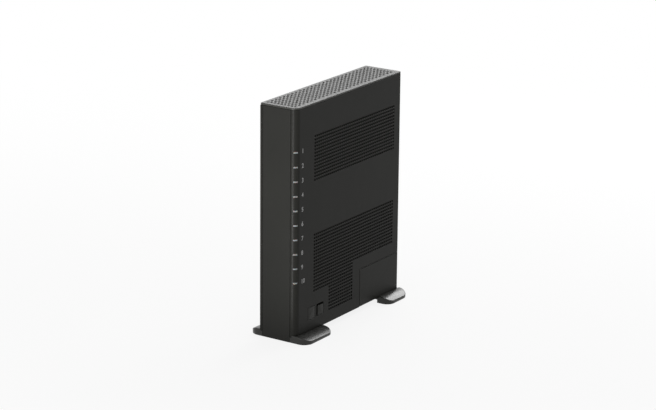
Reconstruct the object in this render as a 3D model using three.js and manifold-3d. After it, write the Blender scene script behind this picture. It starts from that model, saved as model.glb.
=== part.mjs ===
// An upright cable modem standing on two saddle feet, as the separate pieces it is made from.
// Millimetres, +Z up, front face towards -Y. The origin is on the floor, under the middle of
// the footprint. Distances called "back" are measured from the front face towards the rear.
import * as THREE from 'three';
import { mergeVertices } from 'three/addons/utils/BufferGeometryUtils.js';
import Module from 'manifold-3d';

// ---- driving dimensions ----
const HEIGHT = 243;
const BODY_WIDTH = 43.5;
const BODY_DEPTH = 191;
const FOOT_WIDTH = 71.3;
const REAR_OVERHANG = 3.5; // how far the rear foot stands out behind the body
const BODY_BOTTOM = 6;
const WALL = 2;
const GAP = 0.3; // between neighbouring pieces
const CORNER = 7; // round of the front right corner, full height
const EDGE = 1.6; // round of the other upright edges
const LIP_WIDTH = 2.8;
const LIP_DEPTH = 4;
const TOP_PLATE = 1.8;
const BASE_PLATE = 3;
const FEET_BOTTOM = 0.6; // the rubber pads stand out below the feet
const REAR_RECESS = 10; // the connector panel sits this far inside the rear edge
const PANEL = 2;
const CLEAR = 1; // how far a cutting tool runs past the faces that it opens

const RIGHT = BODY_WIDTH / 2;
const FRONT = -(BODY_DEPTH + REAR_OVERHANG) / 2;
const REAR = FRONT + BODY_DEPTH;
const INNER = RIGHT - WALL;
const SHELL_TOP = HEIGHT - TOP_PLATE - GAP;
const SEAM_LEFT = -RIGHT + LIP_WIDTH;
const SEAM_RIGHT = RIGHT - CORNER;
const PANEL_BACK = REAR - REAR_RECESS; // rear face of the connector panel
const BASE_TOP = BODY_BOTTOM + BASE_PLATE;

// vents: one square grid of holes on the sides, here opened as one slot for each row of holes,
// with the same open area. Columns count from the front, rows from the top of each field.
const VENT_PITCH = 3.45;
const VENT_HOLE = 2.1;
const VENT_SLOT = (VENT_HOLE * VENT_HOLE) / VENT_PITCH;
const VENT_BACK = 33; // first column of holes
const VENT_COLUMNS = 43;
const UPPER_VENT_TOP = 208.4;
const LOWER_VENT_TOP = 106.2;
const VENT_ROWS = 14;

// indicator windows round the front right corner
const WINDOW_COUNT = 10;
const WINDOW_TOP = 198;
const WINDOW_PITCH = 15;
const WINDOW_HEIGHT = 1.5;
const WINDOW_FROM = 17; // degrees round the corner, from straight ahead
const WINDOW_TO = 64;

// push buttons low on the right side, and the switches behind them
const LEFT_BUTTON_HOLE = { back: 22, bottom: 18.3, width: 12.7, height: 13.4 };
const RIGHT_BUTTON_HOLE = { back: 37.5, bottom: 19, width: 12.5, height: 12.5 };
const REVEAL = 1.9; // deep margin above and in front of the right button
const SWITCH_X = 9.9; // the switches' feet, on the front board
const BUTTON = { skirt: 1.5, inset: 1, stem: 2, freeTravel: 0.9 };
const SWITCH = { z: 25, half: 3, body: 3.5, plunger: 1.7, height: 5 };

// removable cover over the coaxial cable bay
const COVER_BACK = 117;
const COVER_TOP = 47.3;
const COVER_GAP = 0.4;
const BAY_WALL = 1.5;
const BAY_FRONT = 121;
const BAY_SIDE = -11.5;
const BAY_TOP = 46;
const HOOK_Z = [17, 37]; // hooks at the cover's front edge
const HOOK_HALF = 3;

// boards and what they carry
const BOARD = 1.6;
const BOARD_LEFT = -13.4;
const BOARD_FACE = BOARD_LEFT + BOARD;
const PART_FACE = BOARD_FACE + GAP;
const FRONT_BOARD_X = 8;
const FRONT_BOARD_BACK = 8.5;
const LAMP = { back: 10.6, long: 2.8, half: 1, height: 1 };
const JACK_Z = [125, 145, 165, 185];
const JACK = { off: 13.5, tall: 16, deep: 21, wall: 2.2, mouth: 7, mouthTall: 12, latchTall: 6.4 };
const DC = { z: 66, off: 11, tall: 9, deep: 14, centre: 6, hole: 3.1, pin: 1 };
const RESET = { x: PART_FACE + 4, z: 210, radius: 1.9, stem: 1.1 };
const COAX = { x: -1, z: 27, barrel: 4.7, base: 12, behind: 6, length: 14, socket: 1.2 };
const COAX_NUT = { across: 6.9, thick: 2.6 };
const PROCESSOR_TALL = 1.5;
const SINK = { fins: 12, pitch: 6, fin: 1.2, plate: 2.5, height: 13, low: 158, high: 214, back: 60 };

const SCREW = 1.3;
const SCREW_HOLE = 1.6;
const HEAD = 2.8;
const HEAD_TALL = 1.8;
const CASE_SCREW_X = -16.6;
const CASE_SCREW_Z = [56, 230];
const BOSS = 3.2;

// two saddle feet, and a rubber pad under each wing
const FRONT_FOOT = { back: 0, length: 49.5 };
const REAR_FOOT = { back: 153.7, length: BODY_DEPTH + REAR_OVERHANG - 153.7 };
const REAR_FOOT_RECESS = 9; // how far its middle is set back under the body
const FOOT_SCREW_X = [-15, 12];
const FOOT_SCREW_SEAT = 2.9; // underside of the heads, above the floor
const FOOT = { frontRound: 10, rearRound: 12, root: 7.8, tip: 4.6, edge: 2.2, fall: 0.028 };
const PAD = { x: 28, width: 8, long: 24, thick: 1.1 };

// ---- solids ----
const wasm = await Module();
wasm.setup();

function toSolid(geometry) {
  const bare = geometry.clone();
  bare.deleteAttribute('normal');
  bare.deleteAttribute('uv');
  const merged = mergeVertices(bare, 1e-4);
  const mesh = new wasm.Mesh({
    numProp: 3,
    vertProperties: merged.attributes.position.array,
    triVerts: Uint32Array.from(merged.index.array),
  });
  return new wasm.Manifold(mesh);
}

function toGeometry(solid) {
  const mesh = solid.getMesh();
  const geometry = new THREE.BufferGeometry();
  geometry.setAttribute('position', new THREE.BufferAttribute(mesh.vertProperties, 3));
  geometry.setIndex(new THREE.BufferAttribute(mesh.triVerts, 1));
  geometry.computeVertexNormals();
  return geometry;
}

function join(first, ...others) {
  return others.reduce((sum, other) => sum.add(other), first);
}

function cut(first, ...others) {
  return others.reduce((rest, other) => rest.subtract(other), first);
}

function box(x0, x1, y0, y1, z0, z1) {
  const geometry = new THREE.BoxGeometry(x1 - x0, y1 - y0, z1 - z0);
  return toSolid(geometry.translate((x0 + x1) / 2, (y0 + y1) / 2, (z0 + z1) / 2));
}

// a plan outline (x, y) raised from z0 to z1
function raise(shape, z0, z1, curveSegments = 4) {
  const geometry = new THREE.ExtrudeGeometry(shape, {
    depth: z1 - z0, bevelEnabled: false, curveSegments,
  });
  return toSolid(geometry.translate(0, 0, z0));
}

// a cross-section (x, z) drawn out from y0 to y1
function draw(shape, y0, y1, curveSegments = 4) {
  const geometry = new THREE.ExtrudeGeometry(shape, {
    depth: y1 - y0, bevelEnabled: false, curveSegments,
  });
  return toSolid(geometry.rotateX(Math.PI / 2).translate(0, y1, 0));
}

function outline(points) {
  return new THREE.Shape(points.map(([x, y]) => new THREE.Vector2(x, y)));
}

// a round rod along 'x', 'y' or 'z', from its start point
function rod(axis, x, y, z, radius, length, sides = 12) {
  const geometry = new THREE.CylinderGeometry(radius, radius, length, sides);
  geometry.translate(0, length / 2, 0);
  if (axis === 'x') geometry.rotateZ(-Math.PI / 2);
  if (axis === 'z') geometry.rotateX(Math.PI / 2);
  return toSolid(geometry.translate(x, y, z));
}

// the body's plan outline, grown by a margin
function bodyOutline(grow = 0) {
  const left = -RIGHT - grow;
  const right = RIGHT + grow;
  const front = FRONT - grow;
  const rear = REAR + grow;
  const edge = EDGE + grow;
  const corner = CORNER + grow;
  const shape = new THREE.Shape();
  shape.moveTo(left + edge, front);
  shape.lineTo(right - corner, front);
  shape.absarc(right - corner, front + corner, corner, -Math.PI / 2, 0, false);
  shape.lineTo(right, rear - edge);
  shape.absarc(right - edge, rear - edge, edge, 0, Math.PI / 2, false);
  shape.lineTo(left + edge, rear);
  shape.absarc(left + edge, rear - edge, edge, Math.PI / 2, Math.PI, false);
  shape.lineTo(left, front + edge);
  shape.absarc(left + edge, front + edge, edge, Math.PI, Math.PI * 1.5, false);
  return shape;
}

// ---- finishes ----
function finish(color, roughness, metalness = 0) {
  return new THREE.MeshStandardMaterial({ color, roughness, metalness });
}

const caseDark = () => finish(0x343432, 0.45);
const panelDark = () => finish(0x3a3a38, 0.5);
const windowMilk = () => finish(0xc9cbc8, 0.4);
const boardGreen = () => finish(0x1f4a30, 0.55);
const partBlack = () => finish(0x1b1b1c, 0.5);
const steel = () => finish(0xa8aaac, 0.35, 1);
const aluminium = () => finish(0xb4b6b8, 0.4, 1);
const brass = () => finish(0xc9b27a, 0.35, 1);
const padRubber = () => finish(0x202020, 0.9);

const modem = new THREE.Group();

function add(name, solid, material, position = [0, 0, 0]) {
  const mesh = new THREE.Mesh(toGeometry(solid), material);
  mesh.name = name;
  mesh.position.set(...position);
  modem.add(mesh);
}

// ---- casing ----
// one slot for each row of vent holes, cut through a side wall at x0..x1
function ventSlots(x0, x1, top, fromRow, rows, fromColumn, columns) {
  const slots = [];
  const y0 = FRONT + VENT_BACK + (fromColumn - 1) * VENT_PITCH - VENT_HOLE / 2;
  const y1 = y0 + (columns - 1) * VENT_PITCH + VENT_HOLE;
  for (let row = fromRow; row < fromRow + rows; row += 1) {
    const z = top - (row - 1) * VENT_PITCH;
    slots.push(box(x0, x1, y0, y1, z - VENT_SLOT / 2, z + VENT_SLOT / 2));
  }
  return slots;
}

// a side wall with a lip turned in at its rear edge
function leftShell() {
  const left = -RIGHT;
  const lip = left + LIP_WIDTH;
  const shape = new THREE.Shape();
  shape.moveTo(left + EDGE, FRONT);
  shape.lineTo(lip, FRONT);
  shape.lineTo(lip, FRONT + LIP_DEPTH);
  shape.lineTo(-INNER, FRONT + LIP_DEPTH);
  shape.lineTo(-INNER, REAR - LIP_DEPTH);
  shape.lineTo(lip, REAR - LIP_DEPTH);
  shape.lineTo(lip, REAR);
  shape.lineTo(left + EDGE, REAR);
  shape.absarc(left + EDGE, REAR - EDGE, EDGE, Math.PI / 2, Math.PI, false);
  shape.lineTo(left, FRONT + EDGE);
  shape.absarc(left + EDGE, FRONT + EDGE, EDGE, Math.PI, Math.PI * 1.5, false);
  const root = WALL / 4; // how far a boss or a post sinks into the wall
  const bosses = boardFixings().map(([y, z]) => cut(
    rod('x', -INNER - root, y, z, BOSS, BOARD_LEFT - GAP + INNER + root),
    rod('x', -INNER, y, z, SCREW_HOLE, 10),
  ));
  const postRear = PANEL_BACK - PANEL - GAP;
  const postLong = 14;
  const postHalf = 4;
  const posts = CASE_SCREW_Z.map((z) => cut(
    box(-INNER - root, BOARD_LEFT - root, postRear - postLong, postRear, z - postHalf, z + postHalf),
    rod('y', CASE_SCREW_X, postRear - postLong + WALL, z, SCREW_HOLE, 20),
  ));
  const wall = cut(
    raise(shape, BODY_BOTTOM, SHELL_TOP, 2),
    ...ventSlots(left - CLEAR, -INNER + CLEAR, UPPER_VENT_TOP, 1, VENT_ROWS, 1, VENT_COLUMNS),
    ...ventSlots(left - CLEAR, -INNER + CLEAR, LOWER_VENT_TOP, 1, VENT_ROWS, 1, VENT_COLUMNS),
  );
  return join(wall, ...bosses, ...posts);
}

// a sector of the front right corner, between two radii and two angles from straight ahead
function cornerSector(inner, outer, from, to, z0, z1) {
  const cx = RIGHT - CORNER;
  const cy = FRONT + CORNER;
  const start = THREE.MathUtils.degToRad(from - 90);
  const end = THREE.MathUtils.degToRad(to - 90);
  const shape = new THREE.Shape();
  shape.moveTo(cx + inner * Math.cos(start), cy + inner * Math.sin(start));
  shape.lineTo(cx + outer * Math.cos(start), cy + outer * Math.sin(start));
  shape.absarc(cx, cy, outer, start, end, false);
  shape.lineTo(cx + inner * Math.cos(end), cy + inner * Math.sin(end));
  return raise(shape, z0, z1, 3);
}

function rightShell() {
  const cx = RIGHT - CORNER;
  const cy = FRONT + CORNER;
  const lip = RIGHT - LIP_WIDTH;
  const shape = new THREE.Shape();
  shape.moveTo(cx, FRONT);
  shape.absarc(cx, cy, CORNER, -Math.PI / 2, 0, false);
  shape.lineTo(RIGHT, REAR - EDGE);
  shape.absarc(RIGHT - EDGE, REAR - EDGE, EDGE, 0, Math.PI / 2, false);
  shape.lineTo(lip, REAR);
  shape.lineTo(lip, REAR - LIP_DEPTH);
  shape.lineTo(INNER, REAR - LIP_DEPTH);
  shape.lineTo(INNER, cy);
  shape.absarc(cx, cy, CORNER - WALL, 0, -Math.PI / 2, true);
  const windows = [];
  const half = WINDOW_HEIGHT / 2 + GAP;
  const spare = THREE.MathUtils.radToDeg(GAP / CORNER); // the gap at a window's ends, as an angle
  for (let i = 0; i < WINDOW_COUNT; i += 1) {
    const z = WINDOW_TOP - i * WINDOW_PITCH;
    windows.push(cornerSector(
      CORNER - WALL - CLEAR, CORNER + CLEAR, WINDOW_FROM - spare, WINDOW_TO + spare, z - half, z + half,
    ));
  }
  const across = [INNER - CLEAR, RIGHT + CLEAR];
  const holes = [LEFT_BUTTON_HOLE, RIGHT_BUTTON_HOLE].map((hole) => box(
    ...across, FRONT + hole.back, FRONT + hole.back + hole.width, hole.bottom, hole.bottom + hole.height,
  ));
  return cut(
    raise(shape, BODY_BOTTOM, SHELL_TOP),
    ...windows,
    ...holes,
    box(lip - CLEAR, RIGHT + CLEAR, FRONT + COVER_BACK, REAR + CLEAR, BODY_BOTTOM - CLEAR, COVER_TOP),
    ...ventSlots(...across, UPPER_VENT_TOP, 1, VENT_ROWS, 1, VENT_COLUMNS),
    ...ventSlots(...across, LOWER_VENT_TOP, 1, VENT_ROWS, 1, VENT_COLUMNS),
    ...ventSlots(...across, LOWER_VENT_TOP, 15, 4, 1, 21),
    ...ventSlots(...across, LOWER_VENT_TOP, 19, 8, 9, 13),
  );
}

// plate between the shells' front edges, with two stiffening ribs inside
function frontPanel() {
  const x0 = SEAM_LEFT + GAP;
  const x1 = SEAM_RIGHT - GAP;
  const plate = box(x0, x1, FRONT, FRONT + PANEL, FEET_BOTTOM, SHELL_TOP);
  const rib = { half: 0.75, deep: 5, inset: 4, clear: 6 };
  const ribs = [x0 + rib.inset, x1 - rib.inset].map((x) => box(
    x - rib.half, x + rib.half, FRONT + PANEL / 2, FRONT + PANEL + rib.deep,
    BASE_TOP + rib.clear, SHELL_TOP - rib.clear,
  ));
  return join(plate, ...ribs);
}

// plate with a skirt that drops inside the shells; one slot for every second row of its holes
function topGrille() {
  const bottom = HEIGHT - TOP_PLATE;
  const wall = 1.2;
  const drop = 4;
  const skirtX = INNER - wall;
  const skirtFront = FRONT + CORNER + CLEAR;
  const skirtRear = PANEL_BACK - PANEL - CLEAR;
  const skirt = cut(
    box(-skirtX, skirtX, skirtFront, skirtRear, bottom - drop, bottom + TOP_PLATE / 4),
    box(-skirtX + wall, skirtX - wall, skirtFront + wall, skirtRear - wall,
      bottom - drop - CLEAR, bottom + TOP_PLATE / 8),
  );
  const slots = [];
  const slot = { count: 26, pitch: 7, half: 1.3, first: 8.5, left: 4, right: 5 };
  for (let i = 0; i < slot.count; i += 1) {
    const y = FRONT + slot.first + i * slot.pitch;
    slots.push(box(
      -RIGHT + slot.left, RIGHT - slot.right, y - slot.half, y + slot.half, bottom - CLEAR, HEIGHT + CLEAR,
    ));
  }
  return cut(join(raise(bodyOutline(), bottom, HEIGHT), skirt), ...slots);
}

function basePlate() {
  const plate = box(-INNER + GAP, INNER - GAP, FRONT + CORNER + GAP, REAR - LIP_DEPTH - GAP,
    BODY_BOTTOM, BASE_TOP);
  const through = BASE_PLATE + 2 * CLEAR;
  const holes = footFixings().map(([x, y]) => rod('z', x, y, BODY_BOTTOM - CLEAR, SCREW_HOLE, through));
  return cut(plate, ...holes);
}

// recessed connector panel, stepped round the cable bay
function rearPanel() {
  const y0 = PANEL_BACK - PANEL;
  const plate = box(-INNER + GAP, INNER - GAP, y0, PANEL_BACK, BASE_TOP + GAP, SHELL_TOP);
  const through = [y0 - CLEAR, PANEL_BACK + CLEAR];
  const bay = box(BAY_SIDE - GAP, INNER + CLEAR, ...through, BASE_TOP - CLEAR, BAY_TOP + BAY_WALL + GAP);
  const around = (part, z) => box(
    PART_FACE - GAP, PART_FACE + part.off + GAP, ...through, z - part.tall / 2 - GAP, z + part.tall / 2 + GAP,
  );
  const jacks = JACK_Z.map((z) => around(JACK, z));
  const power = around(DC, DC.z);
  const long = PANEL + 2 * CLEAR;
  const reset = rod('y', RESET.x, y0 - CLEAR, RESET.z, RESET.radius + GAP, long, 16);
  const screws = CASE_SCREW_Z.map((z) => rod('y', CASE_SCREW_X, y0 - CLEAR, z, SCREW_HOLE + GAP, long));
  return cut(plate, bay, ...jacks, power, reset, ...screws);
}

// ---- feet ----
// A saddle across the body's underside with a wing each side. The wings fall away outwards
// and a little towards the rear.
function foot({ back, length }, seatRear) {
  const { frontRound, rearRound, root, tip, edge, fall } = FOOT;
  const half = FOOT_WIDTH / 2;
  const y0 = FRONT + back;
  const y1 = y0 + length;
  const plan = new THREE.Shape();
  plan.moveTo(-half + frontRound, y0);
  plan.lineTo(half - frontRound, y0);
  plan.absarc(half - frontRound, y0 + frontRound, frontRound, -Math.PI / 2, 0, false);
  plan.lineTo(half, y1 - rearRound);
  plan.absarc(half - rearRound, y1 - rearRound, rearRound, 0, Math.PI / 2, false);
  plan.lineTo(-half + rearRound, y1);
  plan.absarc(-half + rearRound, y1 - rearRound, rearRound, Math.PI / 2, Math.PI, false);
  plan.lineTo(-half, y0 + frontRound);
  plan.absarc(-half + frontRound, y0 + frontRound, frontRound, Math.PI, Math.PI * 1.5, false);

  const rounding = [0, 0.8, 1.4].map((angle) => [
    half - edge + edge * Math.cos(angle), tip - edge + edge * Math.sin(angle),
  ]);
  const slope = [[half, -CLEAR], ...rounding, [RIGHT, root]];
  const mirrored = slope.map(([x, z]) => [-x, z]).reverse();
  const section = new THREE.ExtrudeGeometry(outline([...slope, ...mirrored]), {
    depth: length, bevelEnabled: false,
  });
  section.rotateX(Math.PI / 2).translate(0, y1, 0);
  const tilt = new THREE.Matrix4().makeShear(0, 0, 0, -fall, 0, 0);
  section.translate(0, -y0, 0).applyMatrix4(tilt).translate(0, y0, 0);

  const above = root + 2 * CLEAR;
  const blank = raise(plan, FEET_BOTTOM, above, 3).intersect(toSolid(section));
  const seat = raise(bodyOutline(GAP), BODY_BOTTOM - GAP, above);
  const beyond = REAR + 2 * REAR_OVERHANG;
  const wayOut = box(-RIGHT - GAP, RIGHT + GAP, seatRear, beyond, BODY_BOTTOM - GAP, above);
  const pockets = [-1, 1].map((side) => box(
    side * PAD.x - PAD.width / 2 - GAP, side * PAD.x + PAD.width / 2 + GAP,
    y0 + length / 2 - PAD.long / 2 - GAP, y0 + length / 2 + PAD.long / 2 + GAP,
    FEET_BOTTOM - CLEAR, PAD.thick + GAP,
  ));
  return cut(blank, seat, wayOut, ...pockets);
}

function footFixings() {
  const places = [];
  for (const spec of [FRONT_FOOT, REAR_FOOT]) {
    for (const x of FOOT_SCREW_X) places.push([x, FRONT + spec.back + spec.length / 2]);
  }
  return places;
}

function boardFixings() {
  return [[FRONT + 32, 20], [FRONT + 32, 226], [FRONT + 160, 90], [FRONT + 160, 226]];
}

// screw holes with their counterbores, from below; the heads bear on the counterbores' ends
function footScrewHoles() {
  return footFixings().flatMap(([x, y]) => [
    rod('z', x, y, -CLEAR, SCREW_HOLE + GAP, BODY_BOTTOM + 2 * CLEAR),
    rod('z', x, y, -CLEAR, HEAD + GAP, FOOT_SCREW_SEAT + GAP + CLEAR),
  ]);
}

// pan-head screw pointing along +Z from the underside of its head
function screwSolid(length) {
  const root = HEAD_TALL / 2;
  return join(rod('z', 0, 0, -HEAD_TALL, HEAD, HEAD_TALL), rod('z', 0, 0, -root, SCREW, length + root, 8));
}

// ---- cover and bay ----
function cableCover() {
  const y0 = FRONT + COVER_BACK + COVER_GAP;
  const z0 = BODY_BOTTOM + GAP;
  const z1 = COVER_TOP - COVER_GAP;
  const plate = box(INNER, RIGHT, y0, REAR, z0, z1);
  const lip = box(RIGHT - LIP_WIDTH, RIGHT - WALL / 4, REAR - LIP_DEPTH, REAR, z0, z1);
  const reach = 4;
  const roots = HOOK_Z.map((z) => box(
    INNER - WALL, INNER + WALL / 4, y0 + GAP, y0 + reach, z - HOOK_HALF, z + HOOK_HALF,
  ));
  const tongues = HOOK_Z.map((z) => box(
    INNER - WALL, INNER - GAP, y0 - reach, y0 + CLEAR, z - HOOK_HALF, z + HOOK_HALF,
  ));
  return join(plate, lip, ...roots, ...tongues);
}

function cableBay() {
  const y0 = FRONT + BAY_FRONT;
  const z0 = BASE_TOP + GAP;
  const z1 = BAY_TOP + BAY_WALL;
  const rear = REAR - 2;
  const clearOfHooks = INNER - WALL - 2 * GAP;
  const front = box(BAY_SIDE, clearOfHooks, y0, y0 + BAY_WALL, z0, z1);
  const side = box(BAY_SIDE, BAY_SIDE + BAY_WALL, y0, rear, z0, z1);
  const roof = box(BAY_SIDE, INNER - CLEAR, y0, rear, BAY_TOP, z1);
  const hole = rod('y', COAX.x, y0 - CLEAR, COAX.z, COAX.barrel + GAP, BAY_WALL + 2 * CLEAR, 20);
  return cut(join(front, side, roof), hole);
}

// threaded coaxial socket: square base against the tuner, round barrel through the bay wall
function coaxConnector() {
  const y0 = FRONT + BAY_FRONT;
  const half = COAX.base / 2;
  const base = box(COAX.x - half, COAX.x + half, y0 - COAX.behind, y0 - GAP, COAX.z - half, COAX.z + half);
  const barrel = rod('y', COAX.x, y0 - CLEAR, COAX.z, COAX.barrel, COAX.length, 20);
  const socket = rod('y', COAX.x, y0 + COAX.length / 2, COAX.z, COAX.socket, COAX.length, 8);
  return cut(join(base, barrel), socket);
}

function coaxNut() {
  const y0 = FRONT + BAY_FRONT + BAY_WALL + GAP;
  const { across, thick } = COAX_NUT;
  const bore = rod('y', COAX.x, y0 - CLEAR, COAX.z, COAX.barrel + GAP, thick + 2 * CLEAR, 20);
  return cut(rod('y', COAX.x, y0, COAX.z, across, thick, 6), bore);
}

// ---- indicators and buttons ----
// flat light pipe from its lamp on the front board to its window round the corner
function lightPipe() {
  const cx = RIGHT - CORNER;
  const cy = FRONT + CORNER;
  const start = THREE.MathUtils.degToRad(WINDOW_FROM - 90);
  const end = THREE.MathUtils.degToRad(WINDOW_TO - 90);
  const neck = CORNER - WALL - 0.8;
  const lampFace = FRONT_BOARD_X + BOARD + LAMP.height + 0.4;
  const shape = new THREE.Shape();
  shape.moveTo(cx + neck * Math.cos(start), cy + neck * Math.sin(start));
  shape.lineTo(cx + CORNER * Math.cos(start), cy + CORNER * Math.sin(start));
  shape.absarc(cx, cy, CORNER, start, end, false);
  shape.lineTo(cx + neck * Math.cos(end), cy + neck * Math.sin(end));
  shape.lineTo(lampFace, FRONT + LAMP.back + LAMP.long);
  shape.lineTo(lampFace, FRONT + LAMP.back);
  return raise(shape, -WINDOW_HEIGHT / 2, WINDOW_HEIGHT / 2, 3);
}

// one board behind the corner: a lamp for each window, and wider at the foot for the switches
function frontBoard() {
  const faces = [FRONT_BOARD_X, FRONT_BOARD_X + BOARD];
  const y0 = FRONT + FRONT_BOARD_BACK;
  const strip = box(...faces, y0, y0 + 13.5, BASE_TOP + 3, WINDOW_TOP + 8);
  const wide = box(...faces, y0, y0 + 45.5, BASE_TOP + 3, 38);
  const lamps = [];
  for (let i = 0; i < WINDOW_COUNT; i += 1) {
    const z = WINDOW_TOP - i * WINDOW_PITCH;
    lamps.push(box(
      FRONT_BOARD_X + BOARD / 2, FRONT_BOARD_X + BOARD + LAMP.height,
      FRONT + LAMP.back, FRONT + LAMP.back + LAMP.long, z - LAMP.half, z + LAMP.half,
    ));
  }
  return join(strip, wide, ...lamps);
}

// push switch: square body with a round plunger
function switchSolid() {
  const { half, body, plunger, height } = SWITCH;
  return join(
    box(0, body, -half, half, -half, half),
    rod('x', body / 2, 0, 0, plunger, height - body / 2),
  );
}

// square cap, flush with the side, on a stem that reaches its switch
function buttonSolid(hole, reveal) {
  const y0 = FRONT + hole.back + GAP + reveal;
  const y1 = FRONT + hole.back + hole.width - GAP;
  const z0 = hole.bottom + GAP;
  const z1 = hole.bottom + hole.height - GAP - reveal;
  const { skirt, inset, stem, freeTravel } = BUTTON;
  const back = INNER - WALL / 4;
  const cap = box(back, RIGHT, y0, y1, z0, z1);
  const collar = box(INNER - skirt, back + GAP, y0 + inset, y1 - inset, z0 + inset, z1 - inset);
  const tip = SWITCH_X + SWITCH.height + freeTravel;
  const pin = rod('x', tip, (y0 + y1) / 2, SWITCH.z, stem, INNER - skirt + GAP - tip);
  return join(cap, collar, pin);
}

function buttonMiddle(hole, reveal) {
  return FRONT + hole.back + (hole.width + reveal) / 2;
}

// ---- main board ----
function mainBoard() {
  const rear = PANEL_BACK - PANEL - 2.5;
  const board = box(BOARD_LEFT, BOARD_FACE, FRONT + 26, rear, BASE_TOP + 3, 234);
  const through = BOARD + 2 * CLEAR;
  const holes = boardFixings().map(([y, z]) => rod('x', BOARD_LEFT - CLEAR, y, z, SCREW_HOLE + GAP, through));
  return cut(board, ...holes);
}

function heatSink() {
  const x0 = PART_FACE + PROCESSOR_TALL + GAP;
  const x1 = x0 + SINK.plate;
  const tips = x1 + SINK.height;
  const { fins, pitch, fin } = SINK;
  const points = [[x0, 0], [x0, (fins - 1) * pitch + fin]];
  for (let i = fins - 1; i >= 0; i -= 1) {
    const y = i * pitch;
    if (i < fins - 1) points.push([x1, y + pitch], [x1, y + fin]);
    points.push([tips, y + fin], [tips, y]);
  }
  const section = outline(points.map(([x, y]) => [x, y + FRONT + SINK.back]).reverse());
  return raise(section, SINK.low, SINK.high);
}

// 8-way modular jack, open to the rear
function lanJack() {
  const { off, tall, deep, wall, mouth, mouthTall, latchTall } = JACK;
  const block = box(0, off, -deep, 0, -tall / 2, tall / 2);
  const reach = [-0.7 * deep, CLEAR];
  const cavity = box(wall, wall + mouth, ...reach, -mouthTall / 2, mouthTall / 2);
  const latch = box(wall + mouth - GAP, off - wall / 2, ...reach, -latchTall / 2, latchTall / 2);
  return cut(block, cavity, latch);
}

function dcJack() {
  const { off, tall, deep, centre, hole, pin } = DC;
  const block = box(0, off, -deep, 0, -tall / 2, tall / 2);
  const bore = rod('y', centre, -0.7 * deep, 0, hole, deep, 16);
  const contact = rod('y', centre, -0.8 * deep, 0, pin, 0.7 * deep, 8);
  return join(cut(block, bore), contact);
}

function resetButton() {
  return join(rod('y', 0, -5.5, 0, RESET.radius, 5, 16), rod('y', 0, -9, 0, RESET.stem, 4, 8));
}

// ---- assembly ----
add('left_shell', leftShell(), caseDark());
add('right_shell', rightShell(), caseDark());
add('front_panel', frontPanel(), panelDark());
add('top_grille', topGrille(), caseDark());
add('base_plate', basePlate(), caseDark());
add('rear_panel', rearPanel(), caseDark());

// the front panel runs down into the front foot; the rear foot is open behind the body, and its
// middle is set back so that only its wings reach forward
const panelNotch = box(SEAM_LEFT, SEAM_RIGHT, FRONT - CLEAR, FRONT + PANEL + GAP, -CLEAR, BODY_BOTTOM);
const frontFoot = foot(FRONT_FOOT, REAR);
add('front_foot', cut(frontFoot, panelNotch, ...footScrewHoles()), caseDark());
const recessFront = FRONT + REAR_FOOT.back;
const recess = box(
  1.5 - RIGHT, RIGHT - 1.5, recessFront - CLEAR, recessFront + REAR_FOOT_RECESS,
  -CLEAR, BODY_BOTTOM + CLEAR,
);
const rearFoot = foot(REAR_FOOT, REAR - 5);
add('rear_foot', cut(rearFoot, recess, ...footScrewHoles()), caseDark());

for (const [end, spec] of [['front', FRONT_FOOT], ['rear', REAR_FOOT]]) {
  for (const [side, sign] of [['left', -1], ['right', 1]]) {
    const pad = box(-PAD.width / 2, PAD.width / 2, -PAD.long / 2, PAD.long / 2, 0, PAD.thick);
    const middle = FRONT + spec.back + spec.length / 2;
    add(`${end}_pad_${side}`, pad, padRubber(), [sign * PAD.x, middle, 0]);
  }
}

add('cable_cover', cableCover(), caseDark());
add('cable_bay', cableBay(), caseDark());
add('coax_connector', coaxConnector(), brass());
add('coax_nut', coaxNut(), brass());

for (let i = 0; i < WINDOW_COUNT; i += 1) {
  add(`led_window_${i + 1}`, lightPipe(), windowMilk(), [0, 0, WINDOW_TOP - i * WINDOW_PITCH]);
}
add('front_board', frontBoard(), boardGreen());
add('left_button', buttonSolid(LEFT_BUTTON_HOLE, 0), caseDark());
add('right_button', buttonSolid(RIGHT_BUTTON_HOLE, REVEAL), caseDark());
add('left_switch', switchSolid(), partBlack(), [SWITCH_X, buttonMiddle(LEFT_BUTTON_HOLE, 0), SWITCH.z]);
const rightMiddle = buttonMiddle(RIGHT_BUTTON_HOLE, REVEAL);
add('right_switch', switchSolid(), partBlack(), [SWITCH_X, rightMiddle, SWITCH.z]);

add('main_board', mainBoard(), boardGreen());
add('processor', box(0, PROCESSOR_TALL, -14, 14, -14, 14), partBlack(), [PART_FACE, FRONT + 93, 186]);
add('heat_sink', heatSink(), aluminium());
add('memory_chip', box(0, 1.2, -5, 5, -7, 7), partBlack(), [PART_FACE, FRONT + 48, 186]);
add('tuner_can', box(0, 17, 0, 38, 0, 30), steel(), [PART_FACE, FRONT + BAY_FRONT - 44.5, 13]);
add('capacitor_1', rod('x', 0, 0, 0, 5, 14, 16), partBlack(), [PART_FACE, FRONT + 148, 60]);
add('capacitor_2', rod('x', 0, 0, 0, 5, 14, 16), partBlack(), [PART_FACE, FRONT + 148, 74]);
JACK_Z.forEach((z, i) => add(`lan_jack_${i + 1}`, lanJack(), partBlack(), [PART_FACE, PANEL_BACK, z]));
add('dc_jack', dcJack(), partBlack(), [PART_FACE, PANEL_BACK, DC.z]);
add('reset_button', resetButton(), partBlack(), [RESET.x, PANEL_BACK, RESET.z]);
add('reset_switch', box(0, 8, -6, 0, -3, 3), partBlack(), [PART_FACE, PANEL_BACK - 9.8, RESET.z]);

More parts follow.
